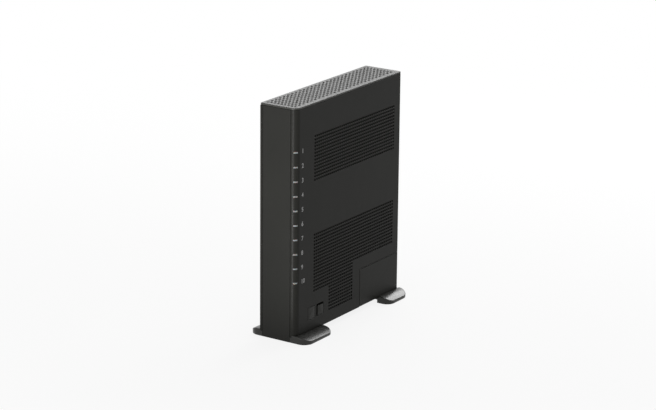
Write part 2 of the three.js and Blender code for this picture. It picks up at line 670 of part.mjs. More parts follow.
boardFixings().forEach(([y, z], i) => {
  const solid = toSolid(toGeometry(screwSolid(7)).rotateY(-Math.PI / 2));
  add(`board_screw_${i + 1}`, solid, steel(), [BOARD_FACE + GAP, y, z]);
});
footFixings().forEach(([x, y], i) => {
  add(`foot_screw_${i + 1}`, screwSolid(5.6), steel(), [x, y, FOOT_SCREW_SEAT]);
});
CASE_SCREW_Z.forEach((z, i) => {
  const solid = toSolid(toGeometry(screwSolid(10)).rotateX(Math.PI / 2));
  add(`case_screw_${i + 1}`, solid, steel(), [CASE_SCREW_X, PANEL_BACK + GAP, z]);
});

export default modem;
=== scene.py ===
import math

import bmesh
import bpy
from mathutils import Matrix, Vector


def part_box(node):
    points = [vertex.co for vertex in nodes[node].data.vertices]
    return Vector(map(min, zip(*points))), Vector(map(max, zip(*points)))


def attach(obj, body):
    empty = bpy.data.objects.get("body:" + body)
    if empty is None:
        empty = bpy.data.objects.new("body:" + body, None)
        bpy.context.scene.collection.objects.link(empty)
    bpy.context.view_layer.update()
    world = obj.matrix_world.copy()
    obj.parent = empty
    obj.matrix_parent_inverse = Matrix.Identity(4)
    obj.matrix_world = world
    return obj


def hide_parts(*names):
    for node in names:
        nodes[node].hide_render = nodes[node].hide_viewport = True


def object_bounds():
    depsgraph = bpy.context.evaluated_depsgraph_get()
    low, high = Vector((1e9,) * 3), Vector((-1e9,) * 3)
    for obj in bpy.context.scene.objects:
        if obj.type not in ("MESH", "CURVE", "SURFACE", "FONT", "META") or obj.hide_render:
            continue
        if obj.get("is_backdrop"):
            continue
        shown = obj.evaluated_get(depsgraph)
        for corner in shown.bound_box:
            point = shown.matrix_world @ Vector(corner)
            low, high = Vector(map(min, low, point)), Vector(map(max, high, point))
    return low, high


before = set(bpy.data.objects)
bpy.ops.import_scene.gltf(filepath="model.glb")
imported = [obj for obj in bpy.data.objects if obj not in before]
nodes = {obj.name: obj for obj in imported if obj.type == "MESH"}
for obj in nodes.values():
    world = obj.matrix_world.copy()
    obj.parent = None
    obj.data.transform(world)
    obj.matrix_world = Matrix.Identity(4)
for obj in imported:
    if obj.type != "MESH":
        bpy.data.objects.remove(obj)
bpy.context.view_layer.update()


# ---- Camera ----
# A long lens to the right of the modem's front and a little above its top, turned slightly
# about its own axis.
view_azimuth = math.radians(33.614)
view_elevation = math.radians(16.801)
view_roll = math.radians(0.544)
view_distance = 2.5679
view_aim = Vector((0, -0.00175, 0.1215))
view_slide = (-0.00342, -0.00316)

level = math.cos(view_elevation)
camera_back = Vector((
    math.sin(view_azimuth) * level, -math.cos(view_azimuth) * level, math.sin(view_elevation),
))
plain_right = Vector((0, 0, 1)).cross(camera_back).normalized()
plain_up = camera_back.cross(plain_right)
camera_right = math.cos(view_roll) * plain_right + math.sin(view_roll) * plain_up
camera_up = math.cos(view_roll) * plain_up - math.sin(view_roll) * plain_right
camera_place = (
    view_aim + camera_back * view_distance
    + camera_right * view_slide[0] + camera_up * view_slide[1]
)

lens = bpy.data.cameras.new("camera")
lens.sensor_width = 36
lens.lens = 137.89
lens.clip_start = 0.05
lens.clip_end = 60
camera = bpy.data.objects.new("camera", lens)
turn = Matrix((camera_right, camera_up, camera_back)).transposed().to_4x4()
camera.matrix_world = Matrix.Translation(camera_place) @ turn
bpy.context.scene.collection.objects.link(camera)
bpy.context.scene.camera = camera


# ---- Left casing shell ----
# Half of the clamshell: a moulded side wall 2 mm thick whose front and rear edges turn in as
# narrow lips, with two fields of square vent holes. It clips to the base and the top grille.
MM = 0.001
GAP = 0.3
SHARP = math.radians(33)

body_left, body_front = (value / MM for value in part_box("left_shell")[0][:2])
body_right, body_rear = (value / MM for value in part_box("right_shell")[1][:2])
shell_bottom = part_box("left_shell")[0].z / MM
shell_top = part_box("left_shell")[1].z / MM
seam_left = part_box("front_panel")[0].x / MM - GAP
seam_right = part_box("front_panel")[1].x / MM + GAP
wall = 2.0
lip_depth = 4.0
lip_width = seam_left - body_left
edge_round = 1.6
soft_edge = 0.24
seam_edge = 0.3
root_edge = 0.1


class Socket:
    """One output of a node. Sums on sockets add Math nodes to the same tree."""

    def __init__(self, tree, output):
        self.tree = tree
        self.output = output

    def maths(self, operation, *values):
        return self.tree.node("Math", {"operation": operation}, dict(enumerate(values)))

    def __add__(self, other):
        return self.maths("ADD", self, other)

    def __radd__(self, other):
        return self.maths("ADD", other, self)

    def __sub__(self, other):
        return self.maths("SUBTRACT", self, other)

    def __rsub__(self, other):
        return self.maths("SUBTRACT", other, self)

    def __mul__(self, other):
        return self.maths("MULTIPLY", self, other)

    def __rmul__(self, other):
        return self.maths("MULTIPLY", other, self)

    def __gt__(self, other):
        return self.maths("GREATER_THAN", self, other)

    def __lt__(self, other):
        return self.maths("LESS_THAN", self, other)


class Finish:
    """A shader tree for one finish, or for the world, in the piece's own coordinates in metres."""

    def __init__(self, name, owner=None):
        self.owner = owner or bpy.data.materials.new(name)
        self.owner.use_nodes = True
        self.tree = self.owner.node_tree
        self.tree.nodes.clear()

    def node(self, kind, settings=None, sockets=None, out=0):
        """Adds a node: its settings first, then the value or link of each of its sockets."""
        made = self.tree.nodes.new("ShaderNode" + kind)
        for name, value in (settings or {}).items():
            if name == "stops":
                for stop, (position, colour) in zip(made.color_ramp.elements, value):
                    stop.position = position
                    stop.color = colour
            else:
                setattr(made, name, value)
        for name, value in (sockets or {}).items():
            if isinstance(value, Socket):
                self.tree.links.new(value.output, made.inputs[name])
            else:
                made.inputs[name].default_value = value
        return Socket(self, made.outputs[out]) if made.outputs else None

    def coordinates(self):
        return self.node("TexCoord", out="Object")

    def noise(self, size, detail=2, stretch=(1, 1, 1)):
        """Cloudy noise from 0 to 1 whose lumps are about this size in millimetres."""
        mapped = self.node("Mapping", {}, {"Vector": self.coordinates(), "Scale": stretch})
        scale = 1 / (size * MM)
        return self.node("TexNoise", {}, {"Vector": mapped, "Scale": scale, "Detail": detail})

    def mix(self, factor, first, second):
        """A colour between two, each linear red, green, blue and 1, or a socket."""
        return self.node("Mix", {"data_type": "RGBA"}, {0: factor, 6: first, 7: second}, out=2)

    def bump(self, height, depth, strength=1.0):
        """A normal raised by a height from 0 to 1 that stands for a depth in millimetres."""
        settings = {"Height": height, "Distance": depth * MM, "Strength": strength}
        return self.node("Bump", {}, settings)

    def surface(self, **sockets):
        """Ends the tree in a Principled shader; the names of its sockets have _ for each space."""
        named = {name.replace("_", " "): value for name, value in sockets.items()}
        shader = self.node("BsdfPrincipled", {}, named)
        self.node("OutputMaterial", {}, {"Surface": shader})
        return self.owner


def grey(value, warmth=0.0):
    """A linear grey, with its blue held back for a positive warmth."""
    return (value, value, value * (1 - warmth), 1)


def moulded(name, tone, roughness, grain, specular):
    """Spark-eroded moulded plastic: a fine grain, and slow changes of tone and gloss."""
    finish = Finish(name)
    cloud = finish.noise(38, 3)
    flow = finish.noise(9, 2, stretch=(1, 1, 0.3))
    spark = finish.noise(grain, 3)
    colour = finish.mix(cloud, grey(tone * 0.88, 0.12), grey(tone * 1.12, 0.12))
    speckle = finish.mix(spark, grey(0.82), grey(1.18))
    spotted = finish.node(
        "Mix", {"data_type": "RGBA", "blend_type": "MULTIPLY"},
        {0: 1.0, 6: colour, 7: speckle}, out=2,
    )
    return finish.surface(
        Base_Color=spotted,
        Roughness=roughness + (flow - 0.5) * 0.1 + (spark - 0.5) * 0.12,
        Specular_IOR_Level=specular,
        Normal=finish.bump(spark, 0.012, 0.6),
    )


def fillet(*corners):
    """An anticlockwise outline of (x, y, radius) corners. Each rounded one is an arc with a short
    straight lead on both sides, which keeps the flats beyond it flat when they are shaded."""
    points = []
    for i, (x, y, radius) in enumerate(corners):
        here = Vector((x, y))
        if radius == 0:
            points.append(here)
            continue
        before = (Vector(corners[i - 1][:2]) - here).normalized()
        after = (Vector(corners[(i + 1) % len(corners)][:2]) - here).normalized()
        opening = before.angle(after)
        reach = radius / math.tan(opening / 2)
        centre = here + (before + after).normalized() * radius / math.sin(opening / 2)
        spoke = here + before * reach - centre
        sweep = math.pi - opening
        if before.cross(after) > 0:
            sweep = -sweep
        steps = max(3, round(abs(sweep) / math.radians(22.5 if radius < 3 else 7.5)))
        lead = min(0.15, radius / 2)
        points.append(here + before * (reach + lead))
        for step in range(steps + 1):
            c, s = math.cos(sweep * step / steps), math.sin(sweep * step / steps)
            points.append(centre + Vector((c * spoke.x - s * spoke.y, s * spoke.x + c * spoke.y)))
        points.append(here + after * (reach + lead))
    return points


def inset(outline, distance):
    """The outline moved inwards by a distance, point for point."""
    moved = []
    for i, here in enumerate(outline):
        into = (here - outline[i - 1]).normalized()
        onward = (outline[(i + 1) % len(outline)] - here).normalized()
        first, second = Vector((-into.y, into.x)), Vector((-onward.y, onward.x))
        moved.append(here + (first + second) * distance / (1 + first.dot(second)))
    return moved


def place(across, up, along, axis):
    """A point of an outline (across, up) at a distance along an axis, in metres."""
    order = {"z": (across, up, along), "x": (along, across, up), "y": (up, along, across)}
    return Vector(order[axis]) * MM


def loft(rings, axis="z", into=None):
    """A closed solid through (outline, distance along the axis) rings with equal point counts."""
    solid = into or bmesh.new()
    loops = [
        [solid.verts.new(place(*point, along, axis)) for point in outline]
        for outline, along in rings
    ]
    for lower, upper in zip(loops, loops[1:]):
        for i in range(len(lower)):
            solid.faces.new((lower[i - 1], lower[i], upper[i], upper[i - 1]))
    solid.faces.new(reversed(loops[0]))
    solid.faces.new(loops[-1])
    return solid


def slab(outline, low, high, axis="z", foot=soft_edge, head=soft_edge, into=None):
    """A solid of one outline from low to high, with its two rims rounded to the radii given."""
    rings = []
    for radius, end, way in ((foot, low, 1), (head, high, -1)):
        turns = [math.pi / 2 * step / 4 for step in range(5)] if radius else [0]
        rim = [
            (inset(outline, radius * (1 - math.sin(a))), end + way * radius * (1 - math.cos(a)))
            for a in turns
        ]
        if radius:
            rim.append((outline, end + way * (radius + 0.15)))
        rings += rim if way == 1 else reversed(rim)
    return loft(rings, axis, into)


def mesh_of(solid):
    """The bmesh as mesh data, and the bmesh freed."""
    mesh = bpy.data.meshes.new("mesh")
    solid.to_mesh(mesh)
    solid.free()
    return mesh


def worked(solid, *steps):
    """Mesh data of a solid after each ("DIFFERENCE" or "UNION", other solid) step, in order."""
    scene = bpy.context.scene.collection
    base = bpy.data.objects.new("base", mesh_of(solid))
    scene.objects.link(base)
    tools = []
    for operation, other in steps:
        tool = bpy.data.objects.new("tool", mesh_of(other))
        scene.objects.link(tool)
        tools.append(tool)
        modifier = base.modifiers.new(operation, "BOOLEAN")
        modifier.operation = operation
        modifier.solver = "MANIFOLD"
        modifier.object = tool
    graph = bpy.context.evaluated_depsgraph_get()
    result = bpy.data.meshes.new_from_object(base.evaluated_get(graph))
    for used in (base, *tools):
        bpy.data.objects.remove(used)
    return result


def piece(name, mesh, finish, body="modem", replaces=(), matrix=None):
    """A finished piece that rides on its body and stands for the CAD nodes named."""
    mesh.materials.clear()
    mesh.materials.append(finish)
    mesh.shade_smooth()
    mesh.set_sharp_from_angle(angle=SHARP)
    made = bpy.data.objects.new(name, mesh)
    bpy.context.scene.collection.objects.link(made)
    if matrix:
        made.matrix_world = matrix
    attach(made, body)
    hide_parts(*replaces)
    return made


case_finish = moulded("case_plastic", tone=0.0145, roughness=0.36, grain=0.35, specular=0.077)

vent_pitch = 3.45
vent_half = 1.12
vent_corner = 0.35
vent_flare = 0.16
vent_back = body_front + 33
upper_vent_top = 208.4
lower_vent_top = 106.2
vent_rows = 14
vent_columns = 43


def rounded_box(u0, u1, v0, v1, radius):
    return fillet((u0, v0, radius), (u1, v0, radius), (u1, v1, radius), (u0, v1, radius))


def square_hole(y, z):
    """The twelve points of one vent hole's outline."""
    points = []
    for quarter in range(4):
        for part in range(3):
            angle = math.pi / 2 * (quarter + part / 2)
            middle = math.pi / 2 * (quarter + 0.5)
            straight = vent_half - vent_corner
            points.append(Vector((
                y + straight * math.copysign(1, math.cos(middle)) + vent_corner * math.cos(angle),
                z + straight * math.copysign(1, math.sin(middle)) + vent_corner * math.sin(angle),
            )))
    return points


def vent_cutters(outside, inside, fields):
    """Cutters for fields of vent holes, each flared at the wall's outer face. A field is its top
    row's height, its rows and its first and last columns."""
    cutters = bmesh.new()
    away = math.copysign(1, outside - inside)
    for top, rows, columns in fields:
        for row in rows:
            for column in columns:
                hole = square_hole(vent_back + column * vent_pitch, top - row * vent_pitch)
                rings = [
                    (hole, inside - away),
                    (hole, outside - away * vent_flare),
                    (inset(hole, -vent_flare - 0.1), outside + away * 0.1),
                ]
                loft(rings if away > 0 else rings[::-1], "x", cutters)
    return cutters


left_plan = fillet(
    (body_left, body_front, 0.3),
    (seam_left, body_front, seam_edge),
    (seam_left, body_front + lip_depth, seam_edge),
    (body_left + wall, body_front + lip_depth, root_edge),
    (body_left + wall, body_rear - lip_depth, root_edge),
    (seam_left, body_rear - lip_depth, seam_edge),
    (seam_left, body_rear, seam_edge),
    (body_left, body_rear, edge_round),
)
full_fields = [
    (upper_vent_top, range(vent_rows), range(vent_columns)),
    (lower_vent_top, range(vent_rows), range(vent_columns)),
]
piece(
    "left_casing",
    worked(
        slab(left_plan, shell_bottom, shell_top),
        ("DIFFERENCE", vent_cutters(body_left, body_left + wall, full_fields)),
    ),
    case_finish, replaces=["left_shell"],
)


# ---- Base plate ----
# The floor of the casing: a moulded plate that both feet are screwed to. The shells clip
# round its edge.
base_finish = moulded("base_plastic", tone=0.02, roughness=0.5, grain=0.5, specular=0.16)


def dress(name, finish, edge=0.0):
    """Gives a CAD piece its finish and, for an edge radius in millimetres, soft edges."""
    node = nodes[name]
    node.data.materials.clear()
    node.data.materials.append(finish)
    if edge:
        weld = node.modifiers.new("weld", "WELD")
        weld.merge_threshold = 0.00001
        bevel = node.modifiers.new("bevel", "BEVEL")
        bevel.width = edge * MM
        bevel.segments = 2
        bevel.limit_method = "ANGLE"
        bevel.angle_limit = math.radians(40)
        bevel.harden_normals = True
    return node


dress("base_plate", base_finish, 0.3)


# ---- Main board and its parts ----
# A green glass-fibre board on bosses inside the left shell. It carries the processor with its
# heat sink, the memory, the tuner in its tinned can, and two capacitors.
def board_finish(name):
    """Green solder mask over etched copper tracks, with tinned pads."""
    finish = Finish(name)
    where = finish.coordinates()
    cells = finish.node(
        "TexVoronoi", {"distance": "MANHATTAN", "feature": "F1"},
        {"Vector": where, "Scale": 1 / (7 * MM), "Randomness": 0.7},
    )
    lines = finish.node("Math", {"operation": "PINGPONG"}, {0: cells * 6, 1: 0.5})
    track = lines > 0.3
    pads = finish.node(
        "TexVoronoi", {"distance": "EUCLIDEAN"},
        {"Vector": where, "Scale": 1 / (4.5 * MM), "Randomness": 0.9},
    )
    pad = pads < 0.12
    mask = finish.mix(track, (0.008, 0.05, 0.022, 1), (0.014, 0.1, 0.04, 1))
    return finish.surface(
        Base_Color=finish.mix(pad, mask, (0.62, 0.62, 0.6, 1)),
        Metallic=pad,
        Roughness=0.42 - track * 0.06 + finish.noise(12) * 0.1,
        Normal=finish.bump(track * 0.6 + pad, 0.05),
    )


def chip_finish(name, tone, roughness):
    """Matt moulded epoxy with fine filler grain."""
    finish = Finish(name)
    grain = finish.noise(0.25, 3)
    return finish.surface(
        Base_Color=finish.mix(grain, grey(tone * 0.8), grey(tone * 1.25)),
        Roughness=roughness + (grain - 0.5) * 0.15,
        Normal=finish.bump(grain, 0.01, 0.6),
    )


def metal_finish(name, tone, roughness, grain, stretch=(1, 1, 1), warmth=0.0):
    """Bare or plated metal with a brushed or rolled grain along the direction left unstretched."""
    finish = Finish(name)
    cloud = finish.noise(14, 3)
    brushed = finish.noise(grain, 3, stretch)
    return finish.surface(
        Base_Color=finish.mix(cloud, grey(tone * 0.9, warmth), grey(tone, warmth)),
        Metallic=1.0,
        Roughness=roughness + (brushed - 0.5) * 0.16 + (cloud - 0.5) * 0.08,
        Normal=finish.bump(brushed, 0.006, 0.5),
    )


green_board = board_finish("board_mask")
black_epoxy = chip_finish("black_epoxy", 0.014, 0.55)
black_jack = chip_finish("black_jack_plastic", 0.02, 0.36)
tinplate = metal_finish("tinplate", 0.72, 0.3, 0.8, (1, 1, 0.08))
screw_zinc = metal_finish("zinc_plate", 0.62, 0.32, 0.3, warmth=0.02)
sink_metal = metal_finish("heat_sink_aluminium", 0.66, 0.38, 0.5, (1, 1, 0.06))


def capacitor_finish(name, open_face):
    """Dark sleeve, and bare aluminium on the open face."""
    finish = Finish(name)
    split = finish.node("SeparateXYZ", {}, {0: finish.coordinates()}, out="X")
    face = split > open_face
    grain = finish.noise(0.6, 2)
    return finish.surface(
        Base_Color=finish.mix(face, finish.mix(grain, grey(0.012), grey(0.022)), grey(0.6)),
        Metallic=face,
        Roughness=0.3 + face * 0.1 + (grain - 0.5) * 0.08,
    )


can_finish = capacitor_finish("capacitor_sleeve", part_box("capacitor_1")[1].x - 0.0006)
for name, finish, edge in (
    ("main_board", green_board, 0),
    ("processor", black_epoxy, 0.15),
    ("memory_chip", black_epoxy, 0.15),
    ("heat_sink", sink_metal, 0.15),
    ("tuner_can", tinplate, 0.4),
    ("capacitor_1", can_finish, 0.5),
    ("capacitor_2", can_finish, 0.5),
):
    dress(name, finish, edge)
for i in range(4):
    dress(f"board_screw_{i + 1}", screw_zinc, 0.3)


# ---- Network jacks, power socket and reset key ----
# Black moulded sockets soldered to the rear edge of the main board, open to the rear. Each jack
# has a stepped mouth for its plug's latch and eight gilt contacts that slope up from its floor.
def node_box(node):
    """A CAD node's lowest and highest corners in millimetres."""
    return [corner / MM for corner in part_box(node)]


def circle(centre, radius, sides, start=0.0):
    """An anticlockwise ring of points round a centre."""
    return [
        Vector((
            centre[0] + radius * math.cos(start + math.tau * i / sides),
            centre[1] + radius * math.sin(start + math.tau * i / sides),
        ))
        for i in range(sides)
    ]


gilt = metal_finish("gilt_contact", 0.75, 0.28, 0.4, warmth=0.32)
jack_floor = 2.2
mouth_depth = 14.5
mouth_tall = 12.0
mouth_across = 7
latch_tall = 6.4
latch_across = 2.4
wire_pitch = 1.02
wire_course = ((12.1, 4.3), (11.5, 4.4), (3.0, 0.35), (2.2, 0.0))
for i in range(4):
    node = f"lan_jack_{i + 1}"
    low, high = node_box(node)
    middle = (low.z + high.z) / 2
    mouth_floor = low.x + jack_floor
    mouth_top = mouth_floor + mouth_across
    latch_top = mouth_top + latch_across
    mouth = fillet(
        (middle - mouth_tall / 2, mouth_floor, 0.25),
        (middle + mouth_tall / 2, mouth_floor, 0.25),
        (middle + mouth_tall / 2, mouth_top, 0.25),
        (middle + latch_tall / 2, mouth_top, 0.2),
        (middle + latch_tall / 2, latch_top, 0.25),
        (middle - latch_tall / 2, latch_top, 0.25),
        (middle - latch_tall / 2, mouth_top, 0.2),
        (middle - mouth_tall / 2, mouth_top, 0.25),
    )
    cutter = loft(
        [
            (mouth, high.y - mouth_depth),
            (mouth, high.y - 0.4),
            (inset(mouth, -0.5), high.y + 0.1),
        ],
        "y",
    )
    outer = rounded_box(low.z, high.z, low.x, high.x, 0.4)
    piece(
        f"network_jack_{i + 1}", worked(slab(outer, low.y, high.y, "y"), ("DIFFERENCE", cutter)),
        black_jack, replaces=[node],
    )
    wires = bmesh.new()
    for wire in range(8):
        z = middle + (wire - 3.5) * wire_pitch
        rings = []
        for inside, height in wire_course:
            foot = mouth_floor + 0.12 + height
            rings.append((rounded_box(z - 0.2, z + 0.2, foot, foot + 0.3, 0.08), high.y - inside))
        loft(rings, "y", wires)
    piece(f"jack_contacts_{i + 1}", mesh_of(wires), gilt)

low, high = node_box("dc_jack")
power_middle = ((low.z + high.z) / 2, low.x + 6)
power_hole = loft(
    [
        (circle(power_middle, 3.1, 32), high.y - 9.5),
        (circle(power_middle, 3.1, 32), high.y - 0.5),
        (circle(power_middle, 3.8, 32), high.y + 0.2),
    ],
    "y",
)
power_block = slab(rounded_box(low.z, high.z, low.x, high.x, 0.5), low.y, high.y, "y")
piece(
    "power_socket", worked(power_block, ("DIFFERENCE", power_hole)),
    black_jack, replaces=["dc_jack"],
)
pin = loft(
    [
        (circle(power_middle, 1.0, 20), high.y - 9.6),
        (circle(power_middle, 1.0, 20), high.y - 2.0),
        (circle(power_middle, 0.75, 20), high.y - 1.5),
    ],
    "y",
)
piece("power_pin", mesh_of(pin), tinplate)
dress("reset_button", black_jack, 0.25)
dress("reset_switch", black_epoxy, 0.2)


# ---- Front board, switches and indicator windows ----
# A narrow board stands behind the front right corner. Ten flat milky light pipes carry the light
# of its lamps to windows that lie flush in the round of the corner.
dress("front_board", green_board)
for side in ("left", "right"):
    dress(f"{side}_switch", black_epoxy, 0.2)

corner_round = 6.4
corner_centre = (seam_right + 7 - corner_round, body_front + corner_round)
window_tall = 1.5
window_from = math.radians(24)
window_to = math.radians(64)


def corner_arc(inner, outer, start, end, steps=12):
    """The outline of a sector round the corner's centre, with angles from straight ahead."""
    points = []
    for radius, first, last in ((outer, start, end), (inner, end, start)):
        for step in range(steps + 1):
            angle = first + (last - first) * step / steps - math.pi / 2
            points.append(Vector((
                corner_centre[0] + radius * math.cos(angle),
                corner_centre[1] + radius * math.sin(angle),
            )))
    return points


milk = Finish("milky_window")
haze = milk.noise(0.5, 2)
window_finish = milk.surface(
    Base_Color=milk.mix(haze, grey(0.165), grey(0.2)),
    Roughness=0.34 + haze * 0.08,
    Subsurface_Weight=0.3,
    Subsurface_Scale=0.001,
    Specular_IOR_Level=0.4,
    Normal=milk.bump(haze, 0.004),
)
window_levels = []
for i in range(10):
    node = f"led_window_{i + 1}"
    low, high = node_box(node)
    middle = (low.z + high.z) / 2
    window_levels.append(middle)
    head = slab(
        corner_arc(corner_round - 3.2, corner_round, window_from, window_to),
        middle - window_tall / 2, middle + window_tall / 2, foot=0.12, head=0.12,
    )
    pipe = slab(
        fillet(
            (low.x, body_front + 10.6, 0),
            (corner_centre[0] + 2.6, corner_centre[1] - 2.6, 0),
            (corner_centre[0] + 3.2, corner_centre[1] - 1.6, 0),
            (low.x, body_front + 13.4, 0),
        ),
        middle - window_tall / 2 + 0.1, middle + window_tall / 2 - 0.1, foot=0, head=0,
    )
    piece(f"indicator_window_{i + 1}", worked(head, ("UNION", pipe)), window_finish,
          replaces=[node])


# ---- Cable bay and coaxial socket ----
# A moulded pocket low at the rear, open to the side and the rear. The threaded nickel-plated
# socket comes through its front wall and is held by a thin hexagonal nut.
dress("cable_bay", base_finish, 0.3)
nickel_metal = metal_finish("nickel_plate", 0.66, 0.24, 0.35, warmth=0.03)
dress("coax_nut", nickel_metal, 0.25)
low, high = node_box("coax_connector")
coax_middle = ((low.z + high.z) / 2, (low.x + high.x) / 2)
barrel_radius = 4.7
thread_pitch = 0.8
thread_depth = 0.32
thread_from = high.y - 11.5
thread_sides = 36
threaded = [
    (circle(coax_middle, 4.4, thread_sides), low.y + 4.5),
    (circle(coax_middle, 4.4, thread_sides), thread_from - 0.4),
]
ring_steps = 6
for ring in range(int((high.y - 1.0 - thread_from) / thread_pitch * ring_steps)):
    along = thread_from + ring * thread_pitch / ring_steps
    outline = []
    for side in range(thread_sides):
        phase = (ring / ring_steps - side / thread_sides) % 1
        radius = barrel_radius - thread_depth * abs(2 * phase - 1)
        outline.append(circle(coax_middle, radius, thread_sides)[side])
    threaded.append((outline, along))
threaded.append((circle(coax_middle, 4.3, thread_sides), high.y - 0.6))
threaded.append((circle(coax_middle, 3.9, thread_sides), high.y))
socket_hole = loft(
    [(circle(coax_middle, 3.0, 32), high.y - 6), (circle(coax_middle, 3.0, 32), high.y + 1)], "y",
)
coax_base = slab(
    rounded_box(low.z, high.z, low.x, high.x, 0.6), low.y, low.y + 5.7, "y", foot=0.3, head=0.3,
)
piece(
    "coax_socket",
    worked(coax_base, ("UNION", loft(threaded, "y")), ("DIFFERENCE", socket_hole)),
    nickel_metal, replaces=["coax_connector"],
)
insulator = Finish("coax_insulator")
insulator_grain = insulator.noise(0.4)
insulator_finish = insulator.surface(
    Base_Color=insulator.mix(insulator_grain, grey(0.62), grey(0.7)),
    Roughness=0.4 + insulator_grain * 0.1,
)
core = slab(circle(coax_middle, 2.95, 32), high.y - 6.2, high.y - 1.2, "y", foot=0.1, head=0.2)
centre_hole = loft(
    [(circle(coax_middle, 0.75, 16), high.y - 5), (circle(coax_middle, 0.75, 16), high.y + 1)], "y",
)
piece("coax_core", worked(core, ("DIFFERENCE", centre_hole)), insulator_finish)


# ---- Rear panel ----
# A plain plate set 10 mm inside the rear edge of the shells, cut out for the sockets, the reset
# key and the two screws that hold it to the left shell's posts.
rear_finish = moulded("rear_plastic", tone=0.019, roughness=0.5, grain=0.45, specular=0.16)
dress("rear_panel", rear_finish, 0.25)


# ---- Front panel ----
# A satin plate between the shells' front edges, clipped in from the front. It runs from the top
# grille right down through the front foot.
panel_low, panel_high = node_box("front_panel")
panel_thick = 2.0
panel_bottom = 0.1
panel_plan = rounded_box(panel_low.x, panel_high.x, body_front, body_front + panel_thick, 0.28)
panel_finish = moulded("panel_plastic", tone=0.0132, roughness=0.46, grain=0.3, specular=0.12)
front_plate = slab(panel_plan, panel_bottom, panel_high.z)
rib_low, rib_high = 15, 235
ribs = bmesh.new()
for x in (panel_low.x + 4, panel_high.x - 4):
    rib_plan = rounded_box(x - 0.75, x + 0.75, body_front + 1, body_front + 7, 0.2)
    slab(rib_plan, rib_low, rib_high, into=ribs)
piece("front_plate", worked(front_plate, ("UNION", ribs)), panel_finish,
      replaces=["front_panel"])


# ---- Right casing shell ----
# The other half of the clamshell. Its front edge turns the full-height round corner that holds
# the indicator windows. It has the vents, the holes for the two keys, and the opening of the bay.
cover_low, cover_high = node_box("cable_cover")
cover_gap = 0.4
tongue_reach = 4
cover_front = cover_low.y + tongue_reach
key_holes = (
    {"back": 22, "bottom": 18.3, "wide": 12.7, "tall": 13.4},
    {"back": 37.5, "bottom": 19, "wide": 12.5, "tall": 12.5},
)
opening_flare = 0.22
right_lip = body_right - lip_width
right_plan = fillet(
    (seam_right, body_front, 0.28),
    (body_right, body_front, corner_round),
    (body_right, body_rear, edge_round),
    (right_lip, body_rear, seam_edge),
    (right_lip, body_rear - lip_depth, seam_edge),
    (body_right - wall, body_rear - lip_depth, root_edge),
    (body_right - wall, body_front + wall, corner_round - wall),
    (seam_right, body_front + wall, root_edge),
)
right_fields = full_fields + [
    (lower_vent_top, range(vent_rows, 18), range(21)),
    (lower_vent_top, range(18, 26), range(8, 21)),
]


def flared(outline, inside, outside, flare, into):
    """A cutter through the right wall, wider by the flare at the outer face."""
    wide = inset(outline, -flare - 0.1)
    loft([(outline, inside - 1), (outline, outside - flare), (wide, outside + 0.1)], "x", into)


openings = bmesh.new()
for key in key_holes:
    near, bottom = body_front + key["back"], key["bottom"]
    hole = rounded_box(near, near + key["wide"], bottom, bottom + key["tall"], 0.7)
    flared(hole, body_right - wall, body_right, opening_flare, openings)
cover_hole = fillet(
    (cover_front - cover_gap, shell_bottom - 3, 0),
    (body_rear + 4, shell_bottom - 3, 0),
    (body_rear + 4, cover_high.z + cover_gap, 0),
    (cover_front - cover_gap, cover_high.z + cover_gap, 0.6),
)
flared(cover_hole, right_lip, body_right, opening_flare, openings)
slots = bmesh.new()
slot_spare = math.radians(0.8)
slot_half = window_tall / 2 + 0.1
slot = corner_arc(
    corner_round - 3, corner_round + 1, window_from - slot_spare, window_to + slot_spare,
)
for middle in window_levels:
    loft([(slot, middle - slot_half), (slot, middle + slot_half)], into=slots)
piece(
    "right_casing",
    worked(
        slab(right_plan, shell_bottom, shell_top),
        ("DIFFERENCE", openings),
        ("DIFFERENCE", slots),
        ("DIFFERENCE", vent_cutters(body_right, body_right - wall, right_fields)),
    ),
    case_finish, replaces=["right_shell"],
)


# ---- Two keys low on the right side ----
# Square moulded caps, each on a stem that reaches its switch. The right one has a deep reveal
# above it and in front of it.
key_finish = moulded("key_plastic", tone=0.017, roughness=0.4, grain=0.3, specular=0.12)
for side in ("left", "right"):
    node = f"{side}_button"
    low, high = node_box(node)
    cap = slab(
        rounded_box(low.y, high.y, low.z, high.z, 0.6),
        high.x - 2.5, high.x, "x", foot=0.2, head=0.35,
    )
    middle = ((low.y + high.y) / 2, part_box(f"{side}_switch")[0].z / MM + 3)
    stem = loft([(circle(middle, 2, 24), low.x), (circle(middle, 2, 24), high.x - 2)], "x")
    collar = slab(
        rounded_box(low.y + 1, high.y - 1, low.z + 1, high.z - 1, 0.5),
        high.x - 3.5, high.x - 2, "x", foot=0.2, head=0,
    )
    piece(
        f"{side}_key", worked(cap, ("UNION", collar), ("UNION", stem)), key_finish,
        body=f"{side}_push", replaces=[node],
    )


# ---- Cable cover ----
# A plate that closes the bay, flush with the right shell. Two tongues hook behind the shell at
# its front edge, and it slides off to the rear.
cover_plan = fillet(
    (body_right, cover_front, 0.35),
    (body_right, body_rear, edge_round),
    (right_lip, body_rear, seam_edge),
    (right_lip, body_rear - lip_depth, seam_edge),
    (body_right - wall, body_rear - lip_depth, root_edge),
    (body_right - wall, cover_front, 0.3),
)
cover_finish = moulded("cover_plastic", tone=0.0165, roughness=0.36, grain=0.35, specular=0.08)
tongue_levels = (17, 37)
tongue_half = 3
tongue = fillet(
    (body_right - 2 * wall, cover_front - tongue_reach, 0.3),
    (body_right - wall - GAP, cover_front - tongue_reach, 0.3),
    (body_right - wall - GAP, cover_front + 0.2, 0),
    (body_right - wall + 0.3, cover_front + 0.4, 0),
    (body_right - wall + 0.3, cover_front + 4, 0),
    (body_right - 2 * wall, cover_front + 4, 0.3),
)
tongues = bmesh.new()
